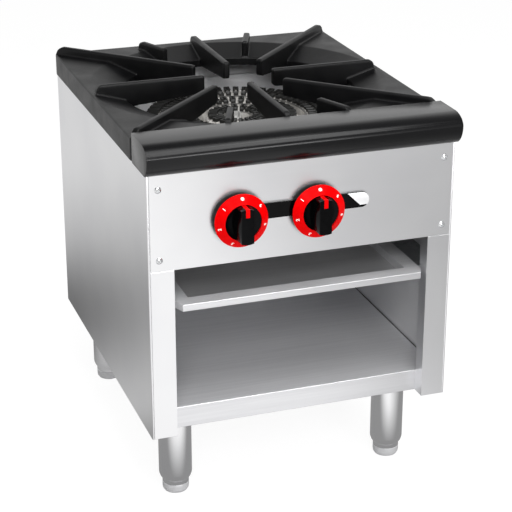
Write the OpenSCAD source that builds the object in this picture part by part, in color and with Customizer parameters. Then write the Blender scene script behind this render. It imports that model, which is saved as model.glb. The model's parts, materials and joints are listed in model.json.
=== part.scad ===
/* [Cabinet] */
// Width across the two side panels
body_w = 457; // [440:1:500]
// Depth from the face of the control panel to the back
body_d = 535; // [520:1:560]
// Height of the steel cabinet without its legs and its top
body_h = 400; // [385:1:440]
// Thickness of the stainless sheet
sheet_t = 1.5; // [1:0.1:2]
// Height of the control panel
panel_h = 141; // [132:1:155]
// Depth of the folds along the control panel's top and bottom edges
panel_fold = 20; // [14:1:22]
// Width of the face of each front post
post_w = 34; // [28:1:40]
// Depth of each front post
post_d = 24; // [21:1:28]
// Width of the flange that carries the iron top
top_flange_w = 22; // [16:1:28]
// Width of the flange that carries the back panel
back_flange_w = 16; // [13:1:20]
// Depth of the hem along the front edge of each side panel
hem_d = 12; // [8:1:16]
// Height of the folded edge round the bottom shelf
shelf_edge_h = 33; // [26:1:42]
// Distance of the heat baffle behind the control panel's face
baffle_y = 98; // [94:1:100]

/* [Iron top] */
// Width of the iron top and of the front rail
top_w = 463; // [446:1:510]
// Height of the iron top's flat rim above the cabinet
rim_h = 33; // [28:1:36]
// Height of the rib tops above the cabinet
rib_h = 46; // [44:1:56]
// Thickness of each rib
rib_t = 10; // [8:0.5:12]
// Wall thickness of the iron casting
casting_t = 8; // [6:0.5:10]
// Radius at which the sloping dish begins
dish_r = 227; // [212:1:230]
// Radius of the round opening over the burner
bowl_r = 178; // [165:1:185]
// Fall of the dish from the rim to the opening
dish_fall = 14; // [8:1:18]
// Depth of the upright lip round the opening
lip_h = 12; // [8:1:14]
// Distance of the opening's centre behind the control panel's face
burner_y = 291; // [288:1:300]
// Radius at which the four side ribs end over the burner
side_rib_r = 55; // [48:1:65]
// Radius at which the four corner ribs end over the burner
corner_rib_r = 77; // [70:1:90]
// Radius at which the four short ribs begin
short_rib_in_r = 180; // [176:1:190]
// Radius at which the four short ribs end
short_rib_out_r = 245; // [230:1:247]
// Height of each rib's bottom edge over the burner, above the cabinet
rib_bottom_h = 19; // [16:1:24]

/* [Front rail] */
// Height of the front rail
rail_h = 43; // [39:1:48]
// Distance from the control panel's face to the back of the rail
rail_d = 60; // [54:1:64]
// How far the rail's round nose stands in front of the panel
nose_out = 17; // [12:1:19]
// Thickness of the rail's sheet
rail_t = 2; // [1.5:0.1:3]

/* [Burners] */
// Outer radius of the outer burner ring
outer_ring_r = 145; // [140:1:150]
// Width of the outer burner ring
outer_ring_w = 41; // [36:1:43]
// Outer radius of the middle burner ring
middle_ring_r = 93; // [89:1:95]
// Width of the middle burner ring
middle_ring_w = 31; // [28:1:33]
// Outer radius of the inner burner ring
inner_ring_r = 50; // [46:1:54]
// Width of the inner burner ring
inner_ring_w = 30; // [26:1:31]
// Height of the burner rings without their ports
ring_h = 32; // [28:1:32]
// Depth of the rings' tops below the top of the cabinet
ring_drop = 26; // [24:1:30]
// Wall thickness of the burner castings
burner_t = 4; // [3:0.5:5]
// Height of the raised ports
port_h = 7; // [5:0.5:8]
// Width of each raised port along the ring
port_w = 9; // [8:0.5:10]
// Spacing of the raised ports along a ring
port_pitch = 14; // [13.5:0.5:20]
// Outer radius of the mixer tubes
mixer_r = 17; // [15:0.5:17]
// Outer radius of each mixer tube's mouth
mouth_r = 24; // [23:0.5:25]
// Distance of the mixer tubes' mouths behind the panel's face
mixer_y = 86; // [84:1:88]
// Thickness of the air shutters
shutter_t = 1.5; // [1:0.1:2]
// Width of the two channels under the burners
channel_w = 30; // [24:1:36]
// Height of the two channels under the burners
channel_h = 18; // [14:1:20]
// Thickness of the plate under the inner burner
burner_plate_t = 3; // [2:0.5:3]

/* [Gas line] */
// Outer radius of the gas pipe
pipe_r = 13.35; // [12:0.05:13.5]
// Wall thickness of the gas pipe
pipe_t = 2.9; // [2:0.1:3.5]
// Distance of the manifold behind the control panel's face
manifold_y = 44; // [43:0.5:46]
// Height of the manifold above the cabinet's bottom edge
manifold_z = 267; // [264:1:269]
// Distance of the supply pipe from the right side of the cabinet
supply_inset = 38.5; // [36:0.5:44]
// Radius of the inlet's threaded end
inlet_r = 13.1; // [11.5:0.1:13.3]
// How far the inlet stands out behind the cabinet
inlet_out = 16; // [12:1:22]
// Radius of the valve stems
stem_r = 4; // [3.5:0.1:4.5]
// Width of the valve bodies
valve_w = 28; // [24:1:32]
// Radius of the orifice hoods
hood_r = 8; // [7:0.1:8.5]
// Outer radius of the pilot tube
pilot_tube_r = 3; // [2:0.1:3.5]

/* [Controls] */
// Distance of the left dial to the left of the middle
left_dial_x = 97; // [90:1:104]
// Distance of the right dial to the right of the middle
right_dial_x = 17; // [12:1:22]
// Depth of the dials' centres below the top of the cabinet
dial_drop = 76.5; // [74:0.5:78]
// Outer radius of the red dials
dial_r = 39; // [36:0.5:42]
// Inner radius of the red dials' face
dial_in_r = 26.5; // [24:0.5:29]
// How far the dials' faces stand in front of the panel
dial_out = 20; // [17:0.5:23]
// How far the knobs stand in front of the panel
knob_out = 38.5; // [34:0.5:44]
// Width of the knobs' grips
grip_w = 18; // [14:0.5:22]
// Length of the name bar
bar_l = 176; // [166:1:190]
// Height of the name bar
bar_h = 23; // [20:1:25]
// Thickness of the name bar
bar_t = 3.5; // [2.5:0.5:4.5]
// Length of the bright end of the name bar
tip_l = 26; // [18:1:30]
// Radius of the heads of the panel screws
screw_head_r = 5; // [4:0.25:6]

/* [Drip tray] */
// Height of the tray's rim above the cabinet's bottom edge
tray_rim_z = 205; // [196:1:207]
// Depth of the pan below the rim
pan_h = 15; // [10:1:20]
// Width of the rim that slides on the runners
tray_rim_w = 21; // [16:1:24]
// Depth of the rim in front of the pan
tray_front_w = 25; // [20:1:30]
// Height of the folded lip round the tray's front
tray_lip_h = 10; // [8:1:14]
// How far the lip reaches in front of the posts
lip_out = 4; // [2:0.5:8]
// Gap between the tray and each post
tray_gap = 3; // [2:0.5:5]
// Height of the upright leg of each tray runner
runner_h = 25; // [18:1:30]

/* [Legs] */
// Height of the legs below the cabinet
leg_h = 135; // [120:1:160]
// Radius of the leg tubes
leg_r = 25; // [22:0.5:28]
// Wall thickness of the leg tubes
leg_t = 1.5; // [1.2:0.1:2.5]
// Radius of the feet
foot_r = 20; // [17:0.5:21]
// Height of the feet below the legs
foot_h = 16; // [13:1:20]
// Radius of the feet's threaded stems
foot_stem_r = 8; // [6:0.5:9]
// Length of the feet's threaded stems
foot_stem_l = 46; // [42:1:52]
// Distance of the legs from the sides of the cabinet
leg_inset_x = 56; // [50:1:62]
// Distance of the front legs from the control panel's face
leg_front_y = 82; // [72:1:86]
// Distance of the back legs from the back
leg_back_y = 48; // [47:1:58]
// Width of the square plates that hold the legs
leg_plate_w = 84; // [74:1:86]
// Thickness of the plates that hold the legs
leg_plate_t = 4; // [3:0.5:5]

/* [Fits] */
// Gap between parts that move on each other
slip = 0.3; // [0.2:0.05:0.5]
// Width of the visible seams between the steel pieces
seam = 0.4; // [0.2:0.1:0.8]
// Gap of a pipe in the sheet that it passes through
pass_gap = 1; // [0.6:0.1:2]

/* [Hidden] */
$fn = 64;

// Heights and places that follow from the sizes above
side_x = body_w / 2;
body_z = leg_h;
top_z = body_z + body_h;
panel_z = top_z - panel_h;
shelf_z = body_z + shelf_edge_h;
post_x = side_x - 2 * sheet_t - post_w;
side_in_x = side_x - sheet_t;
back_in_y = body_d - 2 * sheet_t;
tray_z = body_z + tray_rim_z;
dial_z = top_z - dial_drop;
pipe_z = body_z + manifold_z;
ring_top_z = top_z - ring_drop;
ring_z = ring_top_z - ring_h;
mixer_z = dial_z;
plate_top_z = mixer_z - mixer_r - 0.5;
channel_top_z = plate_top_z - burner_plate_t;
leg_x = side_x - leg_inset_x;
supply_x = side_x - supply_inset;
front_leg_y = leg_front_y;
back_leg_y = body_d - leg_back_y;
front_y = -(body_d + inlet_out - knob_out) / 2;

// Small sizes that several pieces share
screw_r = 2.4;
screw_fit = 0.2;
screw_inset = 16;
screw_edge_z = 22;
edge_r = 1.5;
stem_hole_r = stem_r + 4;

module in_place() {
    translate([0, front_y, 0]) children();
}

module on_side(side) {
    mirror([side < 0 ? 1 : 0, 0, 0]) children();
}

// A cylinder that lies along the depth of the cabinet, from its front end
module rod_y(r, l) {
    rotate([-90, 0, 0]) cylinder(r = r, h = l);
}

// A cylinder that lies along the width of the cabinet, from its left end
module rod_x(r, l) {
    rotate([0, 90, 0]) cylinder(r = r, h = l);
}

// Steel cabinet

back_screw_z = [shelf_z + 25, body_z + body_h / 2, top_z - 30];

// The sheet with its front hem, its back flange and its top flange
module side_panel() {
    flange_y = post_d + 6;
    difference() {
        union() {
            translate([0, 0, body_z]) linear_extrude(body_h) {
                translate([side_in_x, sheet_t]) square([sheet_t, body_d - 2 * sheet_t]);
                translate([side_in_x - sheet_t, sheet_t]) square([sheet_t, hem_d - sheet_t]);
                translate([side_in_x, sheet_t]) circle(sheet_t);
                translate([side_x - back_flange_w, back_in_y]) square([back_flange_w, sheet_t]);
            }
            translate([side_x - top_flange_w, flange_y, top_z - sheet_t])
                cube([top_flange_w, back_in_y - flange_y, sheet_t]);
        }
        for (z = back_screw_z)
            translate([side_x - back_flange_w / 2, back_in_y - 1, z])
                rod_y(screw_r + screw_fit, sheet_t + 2);
    }
}

module side_panel_left() color("silver") in_place() on_side(-1) side_panel();

module side_panel_right() color("silver") in_place() on_side(1) side_panel();

// The post's channel in plan, with its face at the given depth
module post_section(face_y) {
    lip_w = 10;
    translate([post_x, face_y]) square([post_w, sheet_t]);
    translate([post_x, face_y]) square([sheet_t, post_d - face_y]);
    translate([post_x + post_w - sheet_t, face_y]) square([sheet_t, post_d - face_y]);
    translate([post_x, post_d - sheet_t]) square([lip_w, sheet_t]);
}

module panel_screw_places() {
    for (x = [-1, 1], z = [panel_z + screw_inset, top_z - screw_edge_z])
        translate([x * (side_x - screw_inset), 0, z]) children();
}

// The post shows below the panel, and steps back behind it to carry it
module front_post() {
    foot_l = panel_z - seam - body_z;
    lap = 5;
    difference() {
        union() {
            translate([0, 0, body_z]) linear_extrude(foot_l) post_section(0);
            translate([0, 0, body_z + foot_l - lap]) linear_extrude(top_z - sheet_t - body_z - foot_l + lap)
                post_section(sheet_t);
        }
        panel_screw_places() translate([0, -1, 0]) rod_y(screw_r + screw_fit, 3 * sheet_t + 1);
    }
}

module front_post_left() color("silver") in_place() on_side(-1) front_post();

module front_post_right() color("silver") in_place() on_side(1) front_post();

module back_panel() color("silver") in_place() {
    margin = 1;
    difference() {
        translate([-side_x + margin, body_d - sheet_t, body_z + margin])
            cube([body_w - 2 * margin, sheet_t, body_h - 2 * margin]);
        translate([supply_x, back_in_y, pipe_z]) rod_y(pipe_r + pass_gap, 3 * sheet_t);
        back_screw_places() translate([0, -sheet_t - 1, 0]) rod_y(screw_r + screw_fit, sheet_t + 2);
    }
}

module back_screw_places() {
    for (x = [-1, 1], z = back_screw_z)
        translate([x * (side_x - back_flange_w / 2), body_d, z]) children();
}

// A pan-head screw whose head points towards -Y
module pan_screw(l) {
    head_h = screw_head_r * 0.5;
    ball_r = (screw_head_r * screw_head_r + head_h * head_h) / (2 * head_h);
    slot_w = screw_head_r * 0.22;
    slot_l = screw_head_r * 0.9;
    difference() {
        union() {
            intersection() {
                translate([0, ball_r - head_h, 0]) sphere(ball_r);
                translate([0, -head_h, 0]) rod_y(screw_head_r, head_h);
            }
            rod_y(screw_r, l);
        }
        for (turn = [0, 90])
            rotate([0, turn, 0])
                translate([-slot_l / 2, -head_h - 1, -slot_w / 2]) cube([slot_l, head_h * 0.5 + 1, slot_w]);
    }
}

module panel_screws() color("gainsboro") in_place() panel_screw_places() pan_screw(3 * sheet_t + 3);

module back_screws() color("gainsboro") in_place()
    back_screw_places() rotate([0, 0, 180]) pan_screw(2 * sheet_t + 3);

module bottom_shelf() color("silver") in_place() {
    shelf_d = back_in_y - post_d;
    difference() {
        translate([-side_in_x, post_d, body_z]) cube([2 * side_in_x, shelf_d, shelf_edge_h]);
        translate([-side_in_x + sheet_t, post_d + sheet_t, body_z - 1])
            cube([2 * (side_in_x - sheet_t), shelf_d - 2 * sheet_t, shelf_edge_h + 1 - sheet_t]);
    }
}

// The sheet between the controls and the burners, with its two end flanges
module heat_baffle() color("darkgray") in_place() {
    baffle_z = tray_z + 22;
    baffle_h = top_z - 3 * sheet_t - baffle_z;
    flange_w = 12;
    difference() {
        union() {
            translate([-side_in_x, baffle_y, baffle_z]) cube([2 * side_in_x, sheet_t, baffle_h]);
            for (side = [-1, 1])
                on_side(side) translate([side_in_x - sheet_t, baffle_y, baffle_z])
                    cube([sheet_t, flange_w, baffle_h]);
        }
        for (x = [-left_dial_x, right_dial_x])
            translate([x, baffle_y - 1, mixer_z]) rod_y(mouth_r + pass_gap, sheet_t + 2);
        translate([supply_x, baffle_y - 1, pipe_z]) rod_y(pipe_r + pass_gap, sheet_t + 2);
        translate([pilot_x, baffle_y - 1, pilot_z]) rod_y(pilot_tube_r + pass_gap, sheet_t + 2);
    }
}

// Control panel

module control_panel() color("gainsboro") in_place() {
    face_w = 2 * (side_x - 2 * sheet_t - seam);
    fold_w = 2 * (post_x - 1);
    fold_lip = 10;
    difference() {
        union() {
            translate([-face_w / 2, 0, panel_z]) cube([face_w, sheet_t, panel_h]);
            translate([-fold_w / 2, 0, panel_z]) cube([fold_w, panel_fold, sheet_t]);
            translate([-fold_w / 2, panel_fold - sheet_t, panel_z]) cube([fold_w, sheet_t, fold_lip]);
            translate([-fold_w / 2, 0, top_z - sheet_t]) cube([fold_w, panel_fold, sheet_t]);
        }
        for (x = [-left_dial_x, right_dial_x])
            translate([x, -1, dial_z]) rod_y(stem_hole_r, sheet_t + 2);
        panel_screw_places() translate([0, -1, 0]) rod_y(screw_r + screw_fit, sheet_t + 2);
    }
}

dial_boss_r = 12;
hub_r = 9;
dial_plate_y = 12;
dial_plate_t = 2;
dial_cone = 9;

// A dial with a boss on the panel, a back plate and a coned face that falls to a thin edge
module dial(x) {
    floor_y = dial_plate_y + dial_plate_t;
    edge_y = dial_out - dial_cone;
    translate([x, 0, dial_z]) rotate([90, 0, 0]) rotate_extrude($fn = 96) polygon([
        [hub_r + slip, 0], [dial_boss_r, 0], [dial_boss_r, dial_plate_y],
        [dial_in_r + 1, dial_plate_y], [dial_r - 0.6, edge_y - 2], [dial_r, edge_y - 1.5],
        [dial_r, edge_y - 0.5], [dial_r - 0.6, edge_y], [dial_in_r, dial_out], [dial_in_r, floor_y],
        [hub_r + slip, floor_y]]);
}

module dial_left() color("red") in_place() dial(-left_dial_x);

module dial_right() color("red") in_place() dial(right_dial_x);

// A knob with a hub, a round base inside the dial and a bar grip across it
module knob(x) {
    base_r = dial_in_r - slip;
    base_y = dial_plate_y + dial_plate_t + slip;
    base_h = 4;
    hub_back_y = 2;
    socket_l = 12;
    grip_y = base_y + base_h;
    translate([x, 0, dial_z]) difference() {
        union() {
            translate([0, -base_y, 0]) rotate([90, 0, 0]) rotate_extrude($fn = 96) polygon([
                [0, 0], [base_r, 0], [base_r, base_h - 1], [base_r - 1, base_h],
                [base_r - 3, base_h], [base_r - 5, base_h - 1], [0, base_h - 1]]);
            intersection() {
                translate([0, -knob_out, 0]) rod_y(base_r - 0.5, knob_out - base_y);
                linear_extrude(2 * base_r, center = true) polygon([
                    [-grip_w / 2 - 1, -base_y - 1], [grip_w / 2 + 1, -base_y - 1],
                    [grip_w / 2 + 1, -grip_y], [grip_w / 2, -grip_y - 2],
                    [grip_w / 2, -knob_out + edge_r], [grip_w / 2 - edge_r, -knob_out],
                    [-grip_w / 2 + edge_r, -knob_out], [-grip_w / 2, -knob_out + edge_r],
                    [-grip_w / 2, -grip_y - 2], [-grip_w / 2 - 1, -grip_y]]);
            }
            translate([0, -base_y - 1, 0]) rod_y(hub_r, base_y + 1 - hub_back_y);
        }
        translate([0, -base_y - socket_l, 0]) rod_y(stem_r + 0.15, base_y + socket_l);
    }
}

module knob_left() color([0.1, 0.1, 0.1]) in_place() knob(-left_dial_x);

module knob_right() color([0.1, 0.1, 0.1]) in_place() knob(right_dial_x);

// The name bar in front view, with a round right end
bar_x = right_dial_x + bar_h * 3.43;
bar_low_z = dial_z - 4.5;

module bar_outline() {
    end_r = bar_h / 2;
    left_x = max(bar_x - bar_l, -left_dial_x + dial_boss_r + 1);
    difference() {
        union() {
            translate([left_x, bar_low_z]) square([bar_x - end_r - left_x, bar_h]);
            translate([bar_x - end_r, bar_low_z + end_r]) circle(end_r);
        }
        translate([right_dial_x, dial_z]) circle(dial_boss_r + slip);
    }
}

module tip_outline() {
    slant = bar_h * 0.6;
    intersection() {
        bar_outline();
        polygon([[bar_x - tip_l - slant, bar_low_z + bar_h + 1], [bar_x + 1, bar_low_z + bar_h + 1],
                 [bar_x + 1, bar_low_z + 2], [bar_x - tip_l + slant / 2, bar_low_z + 2]]);
    }
}

module name_bar() color([0.08, 0.08, 0.08]) in_place()
    rotate([90, 0, 0]) linear_extrude(bar_t) bar_outline();

module name_bar_tip() color("white") in_place()
    translate([0, -bar_t, 0]) rotate([90, 0, 0]) linear_extrude(0.8) tip_outline();

// Front rail

rail_arc_r = 40;
rail_arc_a = 35;
rail_lip_r = 5;
rail_face_a = 105;

function rail_way(a) = [-sin(a), cos(a)];

module rail_arc(centre, r, from, to) {
    intersection() {
        translate(centre) circle(r);
        polygon([centre, centre + 2 * r * rail_way(from), centre + 2 * r * rail_way(to)]);
    }
}

// A top that curves down to a rounded lip, and a front face that leans back below it
module rail_section(inset) {
    arc_y = (rail_arc_r - rail_lip_r) * sin(rail_arc_a) + rail_lip_r - nose_out;
    arc_c = [arc_y, rail_h - rail_arc_r];
    lip_c = arc_c + (rail_arc_r - rail_lip_r) * rail_way(rail_arc_a);
    lip = lip_c + (rail_lip_r - inset) * rail_way(rail_face_a);
    foot_y = lip[0] + (lip[1] - inset) * tan(rail_face_a - 90);
    polygon([[rail_d - inset, inset], [rail_d - inset, rail_h - inset], [arc_y, rail_h - inset],
             lip_c + (rail_lip_r - inset) * rail_way(rail_arc_a), lip, [foot_y, inset]]);
    rail_arc(arc_c, rail_arc_r - inset, 0, rail_arc_a);
    rail_arc(lip_c, rail_lip_r - inset, rail_arc_a, rail_face_a);
}

// A bent sheet, open underneath and closed at both ends
module front_rail() color([0.12, 0.12, 0.12]) in_place() {
    slot_y = panel_fold + 6;
    translate([-top_w / 2, 0, top_z]) rotate([90, 0, 90]) difference() {
        linear_extrude(top_w) rail_section(0);
        translate([0, 0, rail_t]) linear_extrude(top_w - 2 * rail_t) {
            rail_section(rail_t);
            translate([slot_y, -1]) square([rail_d - rail_t - slot_y, rail_t + 2]);
        }
    }
}

// Iron top

grate_y = rail_d + seam;
grate_d = body_d - grate_y;
corner_r = 10;

module grate_outline(inset) {
    r = corner_r - min(inset, corner_r - 1);
    x = top_w / 2 - inset - r;
    y1 = grate_y + inset + r;
    y2 = body_d - inset - r;
    translate([-x - r, y1]) square([2 * (x + r), y2 - y1]);
    translate([-x, y1 - r]) square([2 * x, y2 - y1 + 2 * r]);
    for (cx = [-x, x], cy = [y1, y2]) translate([cx, cy]) circle(r);
}

// Solid of revolution under a line that falls from the rim to the opening
module dish_cut(extra, rise) {
    z0 = rim_h - dish_fall + rise;
    translate([0, burner_y, 0]) rotate_extrude($fn = 128) polygon([
        [0, rim_h - dish_fall - lip_h - 40], [bowl_r + extra, rim_h - dish_fall - lip_h - 40],
        [bowl_r + extra, z0], [dish_r + extra, rim_h + rise],
        [dish_r + extra, rim_h + rise + 30], [0, rim_h + rise + 30]]);
}

// The rim, the dish and the lip, hollow underneath
module grate_shell() {
    difference() {
        linear_extrude(rim_h) grate_outline(0);
        dish_cut(0, 0);
        difference() {
            translate([0, 0, -1]) linear_extrude(rim_h - casting_t + 1) grate_outline(casting_t);
            translate([0, burner_y, 0]) rotate_extrude($fn = 128) polygon([
                [0, rim_h - dish_fall - lip_h], [bowl_r + casting_t, rim_h - dish_fall - lip_h],
                [bowl_r + casting_t, rim_h - dish_fall - casting_t + 2],
                [dish_r + casting_t, rim_h - casting_t + 2], [0, rim_h - casting_t + 2]]);
        }
    }
}

// A rib seen from its side: it starts over the burner and ends in a round nose at the edge
module rib_side(r_in, r_out, nose_r, low_in) {
    tip_r = 3;
    root_r = bowl_r + 2;
    low_root = rim_h - dish_fall - lip_h + 1;
    web_z = rim_h - casting_t / 2;
    slope_z = rim_h - dish_fall - 3;
    long_rib = r_in < bowl_r;
    difference() {
        union() {
            polygon(concat(
                [[r_in, low_in + tip_r], [r_in + tip_r, low_in]],
                long_rib ? [[root_r, low_root], [root_r, slope_z]] : [],
                [[dish_r, web_z], [r_out - nose_r, web_z], [r_out - nose_r, rib_h],
                 [r_in + tip_r, rib_h], [r_in, rib_h - tip_r]]));
            translate([r_in + tip_r, rib_h - tip_r]) circle(tip_r);
            translate([r_out - nose_r, rib_h - nose_r]) circle(nose_r);
            translate([r_out - nose_r, web_z]) square([nose_r, max(rib_h - nose_r - web_z, 0.5)]);
        }
        translate([0, -40]) square([r_out + 1, 40]);
    }
}

// The rib in cross-section, with its top edges rounded
module rib_section() {
    top_r = rib_t * 0.3;
    translate([-rib_t / 2, 0]) square([rib_t, rib_h - top_r]);
    translate([-rib_t / 2 + top_r, 0]) square([rib_t - 2 * top_r, rib_h]);
    for (x = [-1, 1]) translate([x * (rib_t / 2 - top_r), rib_h - top_r]) circle(top_r);
}

module rib(angle, r_in, r_out, nose_r, low_in) {
    translate([0, burner_y, 0]) rotate([0, 0, angle]) intersection() {
        rotate([90, 0, 0]) linear_extrude(rib_t + 1, center = true)
            rib_side(r_in, r_out, nose_r, low_in);
        rotate([90, 0, 90]) linear_extrude(r_out + 1) rib_section();
    }
}

// Distance from the dish's centre to the casting's edge, straight along an angle
function edge_at(angle) = let (
        c = abs(cos(angle)),
        s = sin(angle),
        depth = s > 0 ? body_d - burner_y : burner_y - grate_y)
    min(c < 0.001 ? 1e6 : top_w / 2 / c, abs(s) < 0.001 ? 1e6 : depth / abs(s));

module top_grate() color([0.13, 0.13, 0.13]) in_place() translate([0, 0, top_z]) {
    side_nose = rib_h - rim_h - 3;
    corner_nose = rib_h - rim_h + 2;
    corner_back = atan2(body_d - burner_y, top_w / 2);
    corner_front = atan2(burner_y - grate_y, top_w / 2);
    slant = 22;
    grate_shell();
    for (a = [0, 90, 180, 270]) rib(a, side_rib_r, edge_at(a) - rib_t * 0.8, side_nose, rib_bottom_h);
    for (a = [corner_back, 180 - corner_back, 180 + corner_front, -corner_front])
        rib(a, corner_rib_r, edge_at(a) - corner_r * 0.6, corner_nose, rib_bottom_h);
    intersection() {
        translate([-top_w / 2, grate_y, 0]) cube([top_w, grate_d, rib_h + 1]);
        for (a = [90 - slant, 90 + slant, 270 - slant, 270 + slant])
            rib(a, short_rib_in_r, short_rib_out_r, side_nose, rim_h - dish_fall);
    }
}

// Drip tray and its runners

tray_x = post_x - tray_gap;
pan_x = tray_x - tray_rim_w;
pan_y = tray_front_w - lip_out;
tray_back_y = back_in_y - 0.4;

module tray_runner() {
    run_y = post_d + 2;
    run_l = back_in_y - 4 - run_y;
    ledge_x = pan_x + 2.5;
    translate([ledge_x, run_y, tray_z - 2 * sheet_t]) cube([side_in_x - ledge_x, run_l, sheet_t]);
    translate([side_in_x - sheet_t, run_y, tray_z - runner_h]) cube([sheet_t, run_l, runner_h - sheet_t]);
}

module tray_runner_left() color("darkgray") in_place() on_side(-1) tray_runner();

module tray_runner_right() color("darkgray") in_place() on_side(1) tray_runner();

// The tray in plan, with slanted front corners
module tray_outline(inset) {
    corner = 7.5;
    x = tray_x - inset;
    polygon([[-x + corner, -lip_out + inset], [x - corner, -lip_out + inset], [x, 2 * corner],
             [x, tray_back_y], [-x, tray_back_y], [-x, 2 * corner]]);
}

// A shallow pan with a flat rim all round and a folded lip at the front
module drip_tray() color("silver") in_place() translate([0, 0, tray_z]) {
    back_w = 12;
    lip_up = 1;
    difference() {
        union() {
            translate([0, 0, -sheet_t]) linear_extrude(sheet_t) tray_outline(0);
            translate([-pan_x, pan_y, -pan_h]) cube([2 * pan_x, tray_back_y - back_w - pan_y, pan_h]);
        }
        translate([-pan_x + sheet_t, pan_y + sheet_t, sheet_t - pan_h])
            cube([2 * (pan_x - sheet_t), tray_back_y - back_w - pan_y - 2 * sheet_t, pan_h]);
    }
    translate([0, 0, lip_up - tray_lip_h]) linear_extrude(tray_lip_h) intersection() {
        difference() {
            tray_outline(0);
            tray_outline(sheet_t);
        }
        translate([-tray_x, -lip_out]) square([2 * tray_x, pan_y - 2]);
    }
}

// Burners and what carries them

foot_at = (outer_ring_r - outer_ring_w / 2) * cos(45);

// A channel across the cabinet, open at the bottom
module burner_channel(y) {
    translate([-side_in_x, y - channel_w / 2, channel_top_z - channel_h]) difference() {
        cube([2 * side_in_x, channel_w, channel_h]);
        translate([-1, sheet_t, -1])
            cube([2 * side_in_x + 2, channel_w - 2 * sheet_t, channel_h + 1 - sheet_t]);
    }
}

module burner_channel_front() color("darkgray") in_place() burner_channel(burner_y - foot_at);

module burner_channel_rear() color("darkgray") in_place() burner_channel(burner_y + foot_at);

plate_left_x = inner_ring_r - 2;
plate_w = 82;

module burner_plate() color("gray") in_place() {
    reach = foot_at + channel_w / 2;
    difference() {
        translate([-plate_left_x, burner_y - reach, channel_top_z])
            cube([plate_w, 2 * reach, burner_plate_t]);
        translate([0, burner_y, channel_top_z - 1])
            cylinder(r = inner_ring_r - inner_ring_w, h = burner_plate_t + 2);
    }
}

// A ring casting with a chamfered outer edge and a low bead round its inner edge
module burner_ring(r_out, w) {
    edge = 2;
    bead = 3;
    translate([0, burner_y, ring_z]) rotate_extrude($fn = 96) polygon([
        [r_out - w, 0], [r_out, 0], [r_out, ring_h - edge], [r_out - edge, ring_h],
        [r_out - w + bead, ring_h], [r_out - w + bead, ring_h + edge], [r_out - w, ring_h + edge]]);
}

// The gas passage inside a ring
module ring_passage(r_out, w) {
    translate([0, burner_y, ring_z + burner_t]) rotate_extrude($fn = 96)
        translate([r_out - w + burner_t, 0]) square([w - 2 * burner_t, ring_h - 2 * burner_t]);
}

// A raised port: a wall round three sides of a slot that is open towards the middle
module port(l) {
    slot_w = port_w * 0.38;
    wall = (port_w - slot_w) / 2;
    difference() {
        translate([-l, -port_w / 2, -1]) cube([l, port_w, port_h + 1]);
        translate([-l - 1, -slot_w / 2, 0]) cube([l + 1 - wall, slot_w, port_h + 1]);
    }
}

// Raised ports in a circle, as close to the set spacing as they divide
module port_row(r_out, w) {
    l = w * 0.45;
    outer_r = r_out - 3;
    count = max(8, floor(2 * PI * (outer_r - l / 2) / port_pitch));
    translate([0, burner_y, ring_top_z]) for (i = [0 : count - 1])
        rotate([0, 0, i * 360 / count]) translate([outer_r, 0, 0]) port(l);
}

// Length of a mixer tube from its mouth to the ring that it feeds
function mixer_l(x, r) = burner_y - sqrt(r * r - x * x) - mixer_y;

// Mouth, throat and tube, and the riser that turns up into the ring
module mixer_body(x, l, riser_r) {
    translate([x, mixer_y, mixer_z]) rotate([-90, 0, 0]) rotate_extrude() polygon([
        [0, 0], [mouth_r, 0], [mouth_r, 6], [mixer_r, 22], [mixer_r, l + mixer_r * 0.8], [0, l + mixer_r]]);
    translate([x, mixer_y + l, mixer_z]) cylinder(r = riser_r, h = ring_z + 1 - mixer_z);
}

// The bore through the mixer, and the air holes round the orifice
module mixer_bore(x, l, riser_r) {
    front_t = 3;
    translate([x, mixer_y, mixer_z]) rotate([-90, 0, 0]) {
        rotate_extrude() polygon([
            [0, front_t], [mouth_r - burner_t, front_t], [mouth_r - burner_t, 7],
            [mixer_r - burner_t, 23], [mixer_r - burner_t, l], [0, l + 4]]);
        air_holes(front_t + 1);
    }
    translate([x, mixer_y + l, mixer_z])
        cylinder(r = riser_r - burner_t, h = ring_z + burner_t + 1 - mixer_z);
}

// The hole for the orifice hood and four air holes round it
module air_holes(depth) {
    hole_r = 4.5;
    hole_at = (hood_r + mouth_r) / 2 - 0.5;
    translate([0, 0, -1]) cylinder(r = hood_r + slip, h = depth + 1);
    for (a = [0 : 90 : 270])
        rotate([0, 0, a + 45]) translate([hole_at, 0, -1]) cylinder(r = hole_r, h = depth + 1);
}

module burner_foot(x, y) {
    translate([x, burner_y + y, 0]) children();
}

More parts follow.
